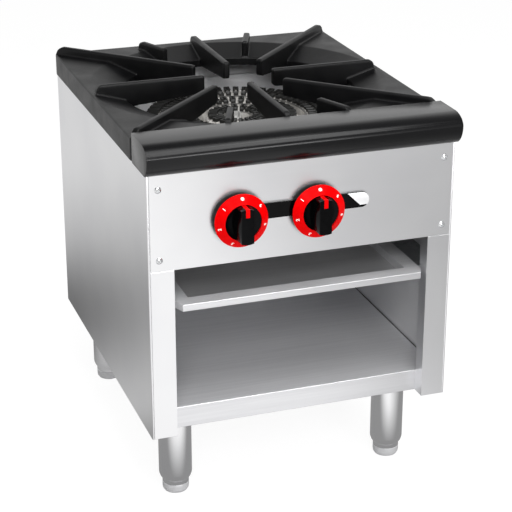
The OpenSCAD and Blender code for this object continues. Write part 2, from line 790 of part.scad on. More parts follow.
// The outer and the middle ring in one casting, joined by four hollow bridges
module outer_burner() color("lightgray") in_place() {
    mid_r = outer_ring_r - outer_ring_w / 2;
    l = mixer_l(-left_dial_x, mid_r);
    riser_r = mixer_r - 2;
    bridge_w = 18;
    bridge_in = middle_ring_r - burner_t;
    bridge_l = outer_ring_r - outer_ring_w + burner_t - bridge_in;
    difference() {
        union() {
            burner_ring(outer_ring_r, outer_ring_w);
            burner_ring(middle_ring_r, middle_ring_w);
            port_row(outer_ring_r, outer_ring_w);
            port_row(middle_ring_r, middle_ring_w);
            for (a = [0 : 90 : 270])
                translate([0, burner_y, ring_z]) rotate([0, 0, a])
                    translate([bridge_in, -bridge_w / 2, 0]) cube([bridge_l, bridge_w, ring_h * 0.7]);
            for (x = [-1, 1], y = [-1, 1])
                burner_foot(x * foot_at, y * foot_at)
                    translate([0, 0, channel_top_z]) cylinder(r = 7, h = ring_z + 1 - channel_top_z);
            mixer_body(-left_dial_x, l, riser_r);
        }
        ring_passage(outer_ring_r, outer_ring_w);
        ring_passage(middle_ring_r, middle_ring_w);
        for (a = [0 : 90 : 270])
            translate([0, burner_y, ring_z + ring_h * 0.35]) rotate([0, 0, a])
                translate([bridge_in - 1, 0, 0]) rod_x(bridge_w / 4, bridge_l + 2);
        mixer_bore(-left_dial_x, l, riser_r);
    }
}

module inner_burner() color("lightgray") in_place() {
    mid_r = inner_ring_r - inner_ring_w / 2;
    l = mixer_l(right_dial_x, mid_r);
    riser_r = min(mixer_r - 2, inner_ring_w / 2 - 1);
    difference() {
        union() {
            burner_ring(inner_ring_r, inner_ring_w);
            port_row(inner_ring_r, inner_ring_w);
            for (a = [60, 180, 240])
                burner_foot(mid_r * cos(a), mid_r * sin(a))
                    translate([0, 0, plate_top_z]) cylinder(r = 5, h = ring_z + 1 - plate_top_z);
            mixer_body(right_dial_x, l, riser_r);
        }
        ring_passage(inner_ring_r, inner_ring_w);
        mixer_bore(right_dial_x, l, riser_r);
    }
}

// A disc in front of a mixer's mouth that turns to close its air holes
module air_shutter(x) {
    tab_w = 10;
    translate([x, mixer_y - slip - shutter_t, mixer_z]) rotate([-90, 0, 0]) difference() {
        union() {
            cylinder(r = mouth_r, h = shutter_t);
            translate([-tab_w / 2, -mouth_r - 8, 0]) cube([tab_w, 12, shutter_t]);
        }
        air_holes(shutter_t + 1);
    }
}

module outer_air_shutter() color("silver") in_place() air_shutter(-left_dial_x);

module inner_air_shutter() color("silver") in_place() air_shutter(right_dial_x);

// Gas line

valve_y = manifold_y - valve_w / 2 - 3;
valve_l = valve_w + 6;
hood_y = valve_y + valve_l;
boss_r = 11;
boss_top_z = pipe_z + pipe_r + 5;

// A hexagonal fitting and the hood that reaches into the mixer's mouth
module orifice(x) {
    hex_l = 8;
    jet_r = 1.2;
    translate([x, hood_y, dial_z]) difference() {
        union() {
            rotate([-90, 0, 0]) cylinder(r = hood_r + 3, h = hex_l, $fn = 6);
            rod_y(hood_r, mixer_y + 4 - hood_y);
        }
        translate([0, -1, 0]) rod_y(hood_r - 3, mixer_y - hood_y + 3);
        translate([0, -1, 0]) rod_y(jet_r, mixer_y - hood_y + 10);
    }
}

module orifice_left() color("goldenrod") in_place() orifice(-left_dial_x);

module orifice_right() color("goldenrod") in_place() orifice(right_dial_x);

// A valve body with a collar round its stem and an inlet down to the manifold
module valve(x) {
    collar_y = sheet_t + 8;
    nut_l = 6;
    stem_end_y = valve_y + valve_l * 0.6;
    difference() {
        union() {
            translate([x - valve_w / 2, valve_y, dial_z - valve_w / 2]) cube([valve_w, valve_l, valve_w]);
            translate([x, collar_y, dial_z]) rod_y(valve_w * 0.36, valve_y - collar_y + 1);
            translate([x, collar_y + 2, dial_z]) rotate([-90, 0, 0])
                cylinder(r = valve_w * 0.45, h = nut_l, $fn = 6);
            translate([x, manifold_y, boss_top_z])
                cylinder(r = 8, h = dial_z - boss_top_z);
        }
        translate([x, collar_y - 1, dial_z]) rod_y(stem_r + slip, stem_end_y - collar_y + 1);
        translate([x, manifold_y, boss_top_z - 1]) cylinder(r = 4, h = dial_z - boss_top_z);
    }
}

module valve_left() color("peru") in_place() valve(-left_dial_x);

module valve_right() color("peru") in_place() valve(right_dial_x);

module valve_stem(x) {
    stem_front_y = -(dial_plate_y + dial_plate_t + 11);
    stem_back_y = valve_y + valve_l * 0.6 - 1;
    translate([x, stem_front_y, dial_z]) rod_y(stem_r, stem_back_y - stem_front_y);
}

module valve_stem_left() color("khaki") in_place() valve_stem(-left_dial_x);

module valve_stem_right() color("khaki") in_place() valve_stem(right_dial_x);

cap_x = left_dial_x + 30;
elbow_r = pipe_r + 3.5;
elbow_l = 18;
pilot_x = -40;
pilot_z = mixer_z - 11;
pilot_end_x = -6;
pilot_end_y = burner_y - 12;

module manifold_pipe() color("dimgray") in_place() {
    l = cap_x + supply_x - elbow_l;
    difference() {
        union() {
            translate([-cap_x, manifold_y, pipe_z]) rod_x(pipe_r, l);
            for (x = [-left_dial_x, right_dial_x, pilot_x])
                translate([x, manifold_y, pipe_z]) cylinder(r = boss_r, h = boss_top_z - pipe_z);
        }
        translate([-cap_x - 1, manifold_y, pipe_z]) rod_x(pipe_r - pipe_t, l + 2);
        for (x = [-left_dial_x, right_dial_x, pilot_x])
            translate([x, manifold_y, pipe_z]) cylinder(r = 4, h = boss_top_z - pipe_z + 1);
    }
}

// A cap that screws over the manifold's closed end
module manifold_cap() color("gray") in_place() {
    cap_l = 16;
    cap_end = 4;
    translate([-cap_x - cap_end, manifold_y, pipe_z]) difference() {
        rod_x(elbow_r, cap_l);
        translate([cap_end, 0, 0]) rod_x(pipe_r + 0.15, cap_l);
    }
}

module pipe_elbow() color("gray") in_place() translate([supply_x, manifold_y, pipe_z]) {
    socket_l = 9;
    band_r = elbow_r + 1.5;
    difference() {
        union() {
            sphere(elbow_r);
            translate([-elbow_l - socket_l, 0, 0]) rod_x(elbow_r, elbow_l + socket_l);
            translate([-elbow_l - socket_l, 0, 0]) rod_x(band_r, 5);
            rod_y(elbow_r, elbow_l + socket_l);
            translate([0, elbow_l + socket_l - 5, 0]) rod_y(band_r, 5);
        }
        sphere(pipe_r - pipe_t);
        translate([-elbow_l - socket_l - 1, 0, 0]) rod_x(pipe_r - pipe_t, elbow_l + socket_l + 1);
        translate([-elbow_l - socket_l - 1, 0, 0]) rod_x(pipe_r + 0.15, socket_l + 1);
        rod_y(pipe_r - pipe_t, elbow_l + socket_l + 1);
        translate([0, elbow_l, 0]) rod_y(pipe_r + 0.15, socket_l + 1);
    }
}

// The pipe to the back, with a threaded end that stands out of the back panel
module supply_pipe() color("dimgray") in_place() translate([supply_x, 0, pipe_z]) {
    start_y = manifold_y + elbow_l;
    thread_l = inlet_out - 1;
    difference() {
        union() {
            translate([0, start_y, 0]) rod_y(pipe_r, body_d + inlet_out - thread_l - start_y);
            translate([0, body_d + inlet_out - thread_l, 0]) rod_y(inlet_r, thread_l);
        }
        translate([0, start_y - 1, 0]) rod_y(pipe_r - pipe_t, body_d + inlet_out - start_y + 2);
    }
}

pilot_valve_r = 6;

module pilot_valve() color("peru") in_place() translate([pilot_x, manifold_y, boss_top_z]) {
    cylinder(r = 9, h = 6, $fn = 6);
    cylinder(r = pilot_valve_r, h = pilot_z + 8 - boss_top_z);
    translate([0, -12, pilot_z - boss_top_z]) rod_y(4, 12);
}

// Straight runs of tube with round bends, from the pilot valve to the middle burner
module pilot_tube() color("darkgray") in_place() {
    start_y = manifold_y + pilot_valve_r;
    rise_z = ring_z - 5;
    translate([pilot_x, start_y, pilot_z]) rod_y(pilot_tube_r, pilot_end_y - start_y);
    translate([pilot_x, pilot_end_y, pilot_z]) sphere(pilot_tube_r);
    translate([pilot_x, pilot_end_y, pilot_z]) rod_x(pilot_tube_r, pilot_end_x - pilot_x);
    translate([pilot_end_x, pilot_end_y, pilot_z]) sphere(pilot_tube_r);
    translate([pilot_end_x, pilot_end_y, pilot_z]) cylinder(r = pilot_tube_r, h = rise_z - pilot_z);
}

// A short tube with a bent shield that steers the pilot flame
module pilot_burner() color("gainsboro") in_place() translate([pilot_end_x, pilot_end_y, ring_z - 5]) {
    tube_r = 4;
    tube_h = ring_h + 8;
    shield_w = 9;
    shield_h = 26;
    shield_t = 1.5;
    translate([0, 0, 0]) cylinder(r = tube_r, h = tube_h);
    translate([-shield_w / 2, tube_r - 0.5, tube_h - shield_h + 9]) cube([shield_w, shield_t, shield_h]);
    translate([shield_w / 2 - shield_t, -tube_r, tube_h - 4]) cube([shield_t, 2 * tube_r + 0.5, 13]);
}

// Legs and feet

module leg_places() {
    for (x = [-leg_x, leg_x], y = [front_leg_y, back_leg_y])
        translate([x, y, 0]) children();
}

leg_top_z = shelf_z - sheet_t - leg_plate_t;
spigot_r = 8;
neck_h = 5;
shoulder_h = 12;

module leg_plates() color("darkgray") in_place() leg_places() difference() {
    translate([-leg_plate_w / 2, -leg_plate_w / 2, leg_top_z])
        cube([leg_plate_w, leg_plate_w, leg_plate_t]);
    translate([0, 0, leg_top_z - 1]) cylinder(r = spigot_r + slip, h = leg_plate_t + 2);
}

// A tube with a drawn-in lower end, bored for the foot's stem
module leg(x, y) {
    neck_z = foot_h + slip;
    shoulder_z = neck_z + neck_h;
    tube_z = shoulder_z + shoulder_h;
    block_z = neck_z + 30;
    cap_t = 5;
    translate([x, y, 0]) difference() {
        union() {
            rotate_extrude() {
                polygon([[0, neck_z], [foot_r, neck_z], [foot_r, shoulder_z],
                         [foot_r + (leg_r - foot_r) * 0.62, shoulder_z + shoulder_h * 0.4],
                         [leg_r - (leg_r - foot_r) * 0.08, shoulder_z + shoulder_h * 0.75],
                         [leg_r, tube_z], [leg_r, leg_top_z], [0, leg_top_z]]);
            }
            translate([0, 0, leg_top_z]) cylinder(r = spigot_r, h = leg_plate_t - 0.5);
        }
        translate([0, 0, block_z]) cylinder(r = leg_r - leg_t, h = leg_top_z - cap_t - block_z);
        translate([0, 0, neck_z - 1]) cylinder(r = foot_stem_r + slip, h = block_z - neck_z + 2);
    }
}

module leg_front_left() color("silver") in_place() leg(-leg_x, front_leg_y);

module leg_front_right() color("silver") in_place() leg(leg_x, front_leg_y);

module leg_back_left() color("silver") in_place() leg(-leg_x, back_leg_y);

module leg_back_right() color("silver") in_place() leg(leg_x, back_leg_y);

// A bullet-shaped foot with the stem that screws into the leg
module foot(x, y) {
    flat_r = foot_r * 0.7;
    translate([x, y, 0]) {
        rotate_extrude() polygon([
            [0, 0], [flat_r, 0], [foot_r * 0.87, foot_h * 0.12], [foot_r * 0.97, foot_h * 0.32],
            [foot_r, foot_h * 0.5], [foot_r, foot_h - 1], [foot_r - 1, foot_h], [0, foot_h]]);
        translate([0, 0, foot_h - 1]) cylinder(r = foot_stem_r, h = foot_stem_l + 1);
    }
}

module foot_front_left() color("gainsboro") in_place() foot(-leg_x, front_leg_y);

module foot_front_right() color("gainsboro") in_place() foot(leg_x, front_leg_y);

module foot_back_left() color("gainsboro") in_place() foot(-leg_x, back_leg_y);

module foot_back_right() color("gainsboro") in_place() foot(leg_x, back_leg_y);

side_panel_left();
side_panel_right();
front_post_left();
front_post_right();
back_panel();
back_screws();
bottom_shelf();
heat_baffle();
control_panel();
panel_screws();
front_rail();
top_grate();
tray_runner_left();
tray_runner_right();
drip_tray();
burner_channel_front();
burner_channel_rear();
burner_plate();
outer_burner();
inner_burner();
outer_air_shutter();
inner_air_shutter();
orifice_left();
orifice_right();
valve_left();
valve_right();
valve_stem_left();
valve_stem_right();
manifold_pipe();
manifold_cap();
pipe_elbow();
supply_pipe();
pilot_valve();
pilot_tube();
pilot_burner();
dial_left();
dial_right();
knob_left();
knob_right();
name_bar();
name_bar_tip();
leg_plates();
leg_front_left();
leg_front_right();
leg_back_left();
leg_back_right();
foot_front_left();
foot_front_right();
foot_back_left();
foot_back_right();
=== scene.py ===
"""The look of the single burner gas range: its finishes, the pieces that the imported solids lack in
detail (knobs, dial marks, burner ports, bar tip, front rail, iron top), the studio and the camera.

All sizes are in metres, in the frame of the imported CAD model: +Z up, -Y to the front.
"""
import json
import math

import bpy
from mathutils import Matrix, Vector

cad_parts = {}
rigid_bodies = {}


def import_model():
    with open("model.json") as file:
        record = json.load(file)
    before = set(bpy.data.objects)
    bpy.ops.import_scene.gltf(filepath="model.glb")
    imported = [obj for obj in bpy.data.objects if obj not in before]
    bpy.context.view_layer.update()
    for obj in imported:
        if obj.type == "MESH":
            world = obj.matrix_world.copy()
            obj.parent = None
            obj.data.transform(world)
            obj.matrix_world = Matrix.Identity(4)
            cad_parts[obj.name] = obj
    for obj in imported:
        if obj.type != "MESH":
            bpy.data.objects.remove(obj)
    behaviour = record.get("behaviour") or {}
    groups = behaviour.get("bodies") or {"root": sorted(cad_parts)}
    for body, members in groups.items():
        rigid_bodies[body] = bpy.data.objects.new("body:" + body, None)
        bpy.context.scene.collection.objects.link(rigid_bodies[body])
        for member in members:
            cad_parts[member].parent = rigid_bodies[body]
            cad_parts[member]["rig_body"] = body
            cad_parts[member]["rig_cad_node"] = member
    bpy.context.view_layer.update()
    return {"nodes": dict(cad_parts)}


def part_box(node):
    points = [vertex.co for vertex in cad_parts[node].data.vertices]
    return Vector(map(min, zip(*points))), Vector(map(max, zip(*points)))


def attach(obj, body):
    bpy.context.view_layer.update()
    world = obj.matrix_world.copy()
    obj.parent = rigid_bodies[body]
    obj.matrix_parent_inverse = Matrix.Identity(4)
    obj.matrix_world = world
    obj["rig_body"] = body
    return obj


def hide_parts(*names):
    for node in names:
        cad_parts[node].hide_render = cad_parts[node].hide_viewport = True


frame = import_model()
MM = 0.001
panel_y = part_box("control_panel")[0].y
port_rise = 7 * MM
ring_top_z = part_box("inner_burner")[1].z - port_rise
FRONT = Vector((0, -1, 0))
UP = Vector((0, 0, 1))


# Working with objects

def deselect():
    """Nothing stays selected: the CAD nodes come in selected, and operators act on them too."""
    if bpy.context.object is not None and bpy.context.object.mode != "OBJECT":
        bpy.ops.object.mode_set(mode="OBJECT")
    bpy.ops.object.select_all(action="DESELECT")


def pick(piece):
    deselect()
    piece.select_set(True)
    bpy.context.view_layer.objects.active = piece
    return piece


def named(name):
    """The object that an operator has just made, under its own name."""
    piece = bpy.context.object
    piece.name = name
    piece.data.name = name
    return piece


def settle(piece):
    """Moves the piece's place, turn and size into its mesh."""
    pick(piece)
    bpy.ops.object.transform_apply(location=True, rotation=True, scale=True)
    return piece


def block(name, middle, size, turn=(0, 0, 0)):
    """A box at its place, size and turn."""
    deselect()
    bpy.ops.mesh.primitive_cube_add(size=1, location=middle, rotation=turn, scale=size)
    return settle(named(name))


def round_bar(name, middle, radius, length, sides=96):
    """A round bar that runs from front to back."""
    deselect()
    bpy.ops.mesh.primitive_cylinder_add(vertices=sides, radius=radius, depth=length,
                                        location=middle, rotation=(math.pi / 2, 0, 0))
    return settle(named(name))


def modify(piece, kind, **settings):
    """Adds a modifier and applies it."""
    pick(piece)
    modifier = piece.modifiers.new(kind.title(), kind)
    for name, value in settings.items():
        setattr(modifier, name, value)
    bpy.ops.object.modifier_apply(modifier=modifier.name)
    return piece


def round_edges(piece, width, segments, degrees):
    """Rounds the edges where the faces turn by more than this angle."""
    modify(piece, "BEVEL", width=width, segments=segments, limit_method="ANGLE",
           angle_limit=math.radians(degrees))


def cut(piece, tool, operation="DIFFERENCE"):
    """Cuts a piece with a tool, and takes the tool away."""
    modify(piece, "BOOLEAN", object=tool, operation=operation, solver="EXACT")
    bpy.data.objects.remove(tool)


def smooth(piece, degrees=35):
    pick(piece)
    bpy.ops.object.shade_smooth_by_angle(angle=math.radians(degrees))
    return piece


def join(pieces, name):
    deselect()
    for piece in pieces:
        piece.select_set(True)
    bpy.context.view_layer.objects.active = pieces[0]
    bpy.ops.object.join()
    return named(name)


def clear_selection(piece):
    """Leaves edit mode with nothing in the mesh selected."""
    bpy.ops.object.mode_set(mode="OBJECT")
    for elements in (piece.data.vertices, piece.data.edges, piece.data.polygons):
        for element in elements:
            element.select = False


def select_verts(piece, wanted):
    """In edit mode, selects the vertices whose place passes the test, and nothing else."""
    clear_selection(piece)
    for vert in piece.data.vertices:
        vert.select = bool(wanted(vert.co))
    bpy.ops.object.mode_set(mode="EDIT")
    bpy.ops.mesh.select_mode(type="VERT")


def select_faces_facing(piece, direction):
    """In edit mode, selects the faces that look along a direction, and nothing else."""
    clear_selection(piece)
    for face in piece.data.polygons:
        face.select = face.normal.dot(direction) > 0.98
    bpy.ops.object.mode_set(mode="EDIT")
    bpy.ops.mesh.select_mode(type="FACE")


def give(piece, material):
    piece.data.materials.clear()
    piece.data.materials.append(material)


# Shader nodes

def srgb(code):
    """A colour written as sRGB hex, in the linear values that shaders take."""
    parts = [int(code[i:i + 2], 16) / 255 for i in (1, 3, 5)]
    return [c / 12.92 if c <= 0.04045 else ((c + 0.055) / 1.055) ** 2.4 for c in parts] + [1.0]


def live(sockets, name):
    """The socket of this name or number that the node's settings have switched on."""
    if isinstance(name, int):
        return sockets[name]
    return next(socket for socket in sockets if socket.name == name and socket.enabled)


def add(tree, kind, inputs=None, **settings):
    """Adds a shader node, sets its properties, and sets or links its inputs."""
    node = tree.nodes.new("ShaderNode" + kind)
    for name, value in settings.items():
        setattr(node, name, value)
    for name, value in (inputs or {}).items():
        socket = live(node.inputs, name)
        if isinstance(value, bpy.types.NodeSocket):
            tree.links.new(value, socket)
        else:
            socket.default_value = value
    return node


def finish_named(name):
    """An empty material and its tree."""
    material = bpy.data.materials.new(name)
    material.use_nodes = True
    material.node_tree.nodes.clear()
    return material, material.node_tree


def surface(tree, colour, rough, normal=None, **more):
    """The material's surface shader and output."""
    inputs = {"Base Color": colour, "Roughness": rough} | more
    if normal is not None:
        inputs["Normal"] = normal
    shader = add(tree, "BsdfPrincipled", inputs)
    add(tree, "OutputMaterial", {"Surface": shader.outputs["BSDF"]})


def object_place(tree, scale=(1, 1, 1)):
    """Object coordinates, scaled by axis."""
    place = add(tree, "TexCoord").outputs["Object"]
    return add(tree, "Mapping", {"Vector": place, "Scale": scale}).outputs["Vector"]


def along_axis(tree, letter, coordinates="Object"):
    """How far a point lies along one of the object's axes, or how far its normal points there."""
    vector = add(tree, "TexCoord").outputs[coordinates]
    return add(tree, "SeparateXYZ", {"Vector": vector}).outputs[letter]


def per_mm(size):
    """The noise scale whose grain is about this many millimetres."""
    return 1 / (size * MM)


def noise(tree, size, detail, rough):
    """Soft spots with a grain of this many millimetres: one size, or one for each axis."""
    if isinstance(size, tuple):
        place, scale = object_place(tree, [per_mm(part) for part in size]), 1.0
    else:
        place, scale = object_place(tree), per_mm(size)
    return add(tree, "TexNoise", {"Vector": place, "Scale": scale, "Detail": detail,
                                  "Roughness": rough}).outputs["Fac"]


def two_tones(tree, value, dark, light, low=0.3, high=0.7):
    """The finish's two colours: dark up to the low value, light from the high value on."""
    node = add(tree, "ValToRGB", {"Fac": value})
    dark_end, light_end = node.color_ramp.elements
    dark_end.position, dark_end.color = low, srgb(dark)
    light_end.position, light_end.color = high, srgb(light)
    return node.outputs["Color"]


def span(tree, value, low, high, start=0.0, end=1.0):
    """Runs from start to end while the value runs from low to high, and stays level outside."""
    return add(tree, "MapRange", {"Value": value, "From Min": low, "From Max": high,
                                  "To Min": start, "To Max": end}).outputs["Result"]


def calculate(tree, operation, first, second=0.0, use_clamp=False):
    return add(tree, "Math", {0: first, 1: second}, operation=operation,
               use_clamp=use_clamp).outputs[0]


def blend(tree, factor, first, second, data_type="FLOAT"):
    """Goes over from the first level or colour to the second."""
    mix = add(tree, "Mix", {"Factor": factor, "A": first, "B": second}, data_type=data_type)
    return live(mix.outputs, "Result")


def darken(tree, colour, factor):
    return add(tree, "VectorMath", {0: colour, "Scale": factor},
               operation="SCALE").outputs["Vector"]


def bumps(tree, height, strength, depth):
    """Raises the skin by a value, with a depth in millimetres."""
    return add(tree, "Bump", {"Height": height, "Strength": strength,
                              "Distance": depth * MM}).outputs["Normal"]


# Finishes

def brushed_stainless(name, along, rough, dull_inside=False):
    """Stainless sheet, belt-ground along one axis: long fine scratches that blur what it mirrors.
    The real scratches are about 0.2 mm apart. They are drawn 1 mm apart so that they just show.
    The side that looks into the cabinet may be left dull, as the sheet comes from the mill."""
    material, tree = finish_named(name)
    scratches = noise(tree, tuple(110 if axis == along else 1 for axis in "XYZ"), 3.0, 0.6)
    handling = noise(tree, 140, 2.0, 0.5)
    blur = span(tree, scratches, 0.3, 0.7, rough - 0.015, rough + 0.015)
    metallic = 1.0
    if dull_inside:
        outward = calculate(tree, "MULTIPLY", along_axis(tree, "X", "Normal"),
                            along_axis(tree, "X"))
        metallic = span(tree, outward, -0.1, -0.05, 0.45, 1.0)
    surface(tree, two_tones(tree, handling, "#E3E3E5", "#EAEAEB"), blur,
            bumps(tree, scratches, 0.03, 0.1), Metallic=metallic)
    return material


def mill_finish(name, dark, light, metallic, rough, bright_front=False, painted_shade_below=None,
                painted_seam_shadow_beyond=None):
    """Sheet as it leaves the mill, not ground: a dull grey sheen with faint rolling streaks in X.
    Its skin scatters much of the light, so it is drawn as part metal, part grey. A lip that faces
    the front may be polished, and is then all metal. A pan's floor, which lies below the height
    painted_shade_below, is darkened grey as painted shade. A painted shadow darkens the seams
    beyond painted_seam_shadow_beyond, on both sides in X."""
    material, tree = finish_named(name)
    streaks = noise(tree, (160, 5, 5), 3.0, 0.55)
    colour = two_tones(tree, streaks, dark, light)
    if bright_front:
        metallic = span(tree, along_axis(tree, "Y", "Normal"), -0.7, -0.5, 1.0, metallic)
    # Painted shade: the pan's up-facing floor below this height is darkened grey.
    if painted_shade_below is not None:
        low = span(tree, along_axis(tree, "Z"), painted_shade_below, painted_shade_below - 1 * MM)
        flat = span(tree, along_axis(tree, "Z", "Normal"), 0.6, 0.9)
        pan_painted_shade = calculate(tree, "MULTIPLY", low, flat)
        colour = darken(tree, colour, span(tree, pan_painted_shade, 0.0, 1.0, 1.0, 0.72))
    # Painted shadow: the sheet is darkened almost to black in a strip along each side seam.
    if painted_seam_shadow_beyond is not None:
        off_middle = calculate(tree, "ABSOLUTE", along_axis(tree, "X"))
        colour = darken(tree, colour, span(tree, off_middle, painted_seam_shadow_beyond, painted_seam_shadow_beyond + 0.5 * MM,
                                           1.0, 0.06))
    surface(tree, colour, rough, bumps(tree, streaks, 0.015, 0.2), Metallic=metallic)
    return material


def black_cast_iron():
    """Sand-cast iron with a baked black coat: a fine pebbled skin with a dull sheen."""
    material, tree = finish_named("black_cast_iron")
    sand = noise(tree, 1.6, 4.0, 0.65)
    patches = noise(tree, 35, 3.0, 0.55)
    surface(tree, two_tones(tree, patches, "#060607", "#0E0E0F", high=0.75),
            span(tree, patches, 0.3, 0.7, 0.36, 0.46), bumps(tree, sand, 0.3, 0.3), IOR=1.3)
    return material


def ring_burner_iron():
    """Bare grey cast iron. The raised ports are dark from just above the ring's top, the ring
    between them is pale, and the casting sand mottles both."""
    material, tree = finish_named("ring_burner_iron")
    sand = noise(tree, 1.8, 4.0, 0.7)
    mottle = noise(tree, 9, 3.0, 0.6)
    pale = two_tones(tree, mottle, "#BDBAB6", "#E6E4E0", low=0.35)
    # Dark from just above the ring's top, pale below it.
    port_dark = span(tree, along_axis(tree, "Z"), ring_top_z + 0.3 * MM, ring_top_z + 2.3 * MM)
    colour = blend(tree, port_dark, pale, srgb("#252524"), "RGBA")
    surface(tree, colour, 0.5, bumps(tree, sand, 0.4, 0.4), Metallic=0.2)
    return material


def satin_black_coat():
    """Baked black coat on bent sheet: smooth, with a faint orange peel that softens its bands."""
    material, tree = finish_named("satin_black_coat")
    peel = noise(tree, 5, 2.0, 0.5)
    speck = noise(tree, 1.2, 2.0, 0.6)
    surface(tree, two_tones(tree, speck, "#08080A", "#0D0D0E"), 0.22, bumps(tree, peel, 0.05, 0.3),
            IOR=1.34)
    return material


def moulded_plastic(name, dark, light, rough, ior, back=None):
    """Injection-moulded plastic: even colour with a slight waviness of the moulded skin. A back
    colour goes on what faces the panel, where the print of the front ends."""
    material, tree = finish_named(name)
    waves = noise(tree, 8, 2.0, 0.5)
    colour = two_tones(tree, waves, dark, light)
    if back:
        behind = calculate(tree, "GREATER_THAN", along_axis(tree, "Y", "Normal"), 0.15)
        colour = blend(tree, behind, colour, srgb(back), "RGBA")
    surface(tree, colour, rough, bumps(tree, waves, 0.04, 0.2), IOR=ior)
    return material


def bright_metal(name, dark, light, rough, grain):
    """Plated or machined metal with fine tool marks of the given grain in millimetres."""
    material, tree = finish_named(name)
    marks = noise(tree, grain, 3.0, 0.6)
    surface(tree, two_tones(tree, marks, dark, light), rough, bumps(tree, marks, 0.05, 0.1),
            Metallic=1.0)
    return material


def zinc_coated_sheet():
    """Hot-dip zinc coating: flat crystals about 9 mm across, each a little lighter or darker."""
    material, tree = finish_named("zinc_coated_sheet")
    crystals = add(tree, "TexVoronoi", {"Vector": object_place(tree), "Scale": per_mm(9)})
    grey = add(tree, "RGBToBW", {"Color": crystals.outputs["Color"]}).outputs["Val"]
    surface(tree, two_tones(tree, grey, "#A9ACAF", "#BCBFC1", 0.2, 0.8), 0.42, Metallic=1.0)
    return material


shelf_seam_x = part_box("bottom_shelf")[1].x - 2.5 * MM
tray_pan_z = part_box("drip_tray")[1].z - 5 * MM

steel_across = brushed_stainless("brushed_stainless_across", "X", 0.3)
steel_deep = brushed_stainless("brushed_stainless_deep", "Y", 0.29, dull_inside=True)
steel_upright = brushed_stainless("brushed_stainless_upright", "Z", 0.29)
leg_tube = brushed_stainless("polished_stainless_tube", "Z", 0.16)
foot_metal = mill_finish("cast_stainless_foot", "#CECED0", "#DADADC", 0.35, 0.3)
# The shelf gets a painted shadow line along its side seams.
shelf_sheet = mill_finish("mill_finish_stainless", "#D8D8DA", "#E0E0E2", 0.45, 0.36,
                          bright_front=True, painted_seam_shadow_beyond=shelf_seam_x)
# The tray's pan floor gets painted shade.
tray_sheet = mill_finish("stainless_tray_with_painted_shade", "#D8D8DA", "#E0E0E2", 0.45, 0.36,
                         bright_front=True, painted_shade_below=tray_pan_z)
dull_sheet = mill_finish("dull_mill_sheet", "#F0F0F2", "#F6F6F7", 0.0, 0.5)
iron = black_cast_iron()
burner_iron = ring_burner_iron()
rail_coat = satin_black_coat()
dial_red = moulded_plastic("red_moulded_plastic", "#D20103", "#DA0205", 0.3, 1.1, "#0A0A0B")
pointer_red = moulded_plastic("red_inlay_plastic", "#D80204", "#E00306", 0.3, 1.1)
knob_black = moulded_plastic("black_moulded_plastic", "#030304", "#060607", 0.1, 1.18)
bar_black = moulded_plastic("gloss_black_plastic", "#040405", "#060607", 0.1, 1.25)
print_white = moulded_plastic("white_printing", "#F0F0EC", "#F6F6F3", 0.45, 1.45)
tip_silver = mill_finish("satin_silver_plate", "#F0F0F1", "#F6F6F7", 0.5, 0.35)
screw_steel = bright_metal("bright_zinc_plating", "#C9CACC", "#D8D9DA", 0.2, 2)
brass = bright_metal("machined_brass", "#BE9950", "#CDAA62", 0.3, 1.5)
tube_metal = bright_metal("drawn_aluminium", "#CDCED0", "#DADBDC", 0.28, 3)
pipe_black = bright_metal("black_steel_pipe", "#232426", "#303134", 0.48, 2.5)
burnt_sheet = bright_metal("heat_blackened_sheet", "#1B1A19", "#2A2827", 0.5, 6)
pilot_metal = mill_finish("grey_pilot_casting", "#A9A9A8", "#C4C4C2", 0.2, 0.5)
zinc = zinc_coated_sheet()

finishes = {
    steel_across: ["control_panel"],
    shelf_sheet: ["bottom_shelf"],
    tray_sheet: ["drip_tray"],
    pilot_metal: ["pilot_burner"],
    burnt_sheet: ["burner_plate", "burner_channel_front", "burner_channel_rear"],
    dull_sheet: ["back_panel"],
    steel_deep: ["side_panel_left", "side_panel_right"],
    steel_upright: ["front_post_left", "front_post_right"],
    leg_tube: ["leg_front_left", "leg_front_right", "leg_back_left", "leg_back_right"],
    foot_metal: ["foot_front_left", "foot_front_right", "foot_back_left", "foot_back_right"],
    iron: ["top_grate"],
    burner_iron: ["outer_burner", "inner_burner"],
    rail_coat: ["front_rail"],
    dial_red: ["dial_left", "dial_right"],
    knob_black: ["knob_left", "knob_right"],
    bar_black: ["name_bar"],
    tip_silver: ["name_bar_tip"],
    screw_steel: ["panel_screws", "back_screws"],
    brass: ["orifice_left", "orifice_right", "valve_left", "valve_right", "valve_stem_left",
            "valve_stem_right", "pilot_valve"],
    tube_metal: ["pilot_tube"],
    pipe_black: ["manifold_pipe", "manifold_cap", "pipe_elbow", "supply_pipe"],
    zinc: ["heat_baffle", "leg_plates", "tray_runner_left", "tray_runner_right",
           "outer_air_shutter", "inner_air_shutter"],
}

for material, nodes in finishes.items():
    for node in nodes:
        give(frame["nodes"][node], material)


# Sheet edges

def soften_edges(node, width):
    """Bent and cut sheet has edges a few tenths of a millimetre round. They catch a thin light."""
    sheet = frame["nodes"][node]
    sheet.modifiers.new("Weld", "WELD").merge_threshold = 0.01 * MM
    edge = sheet.modifiers.new("Bevel", "BEVEL")
    edge.width, edge.segments = width, 2
    edge.limit_method, edge.angle_limit = "ANGLE", math.radians(40)


for node in ("side_panel_left", "side_panel_right", "front_post_left", "front_post_right",
             "bottom_shelf", "back_panel"):
    soften_edges(node, 0.5 * MM)
for node in ("drip_tray", "name_bar"):
    soften_edges(node, 0.4 * MM)


# Knobs

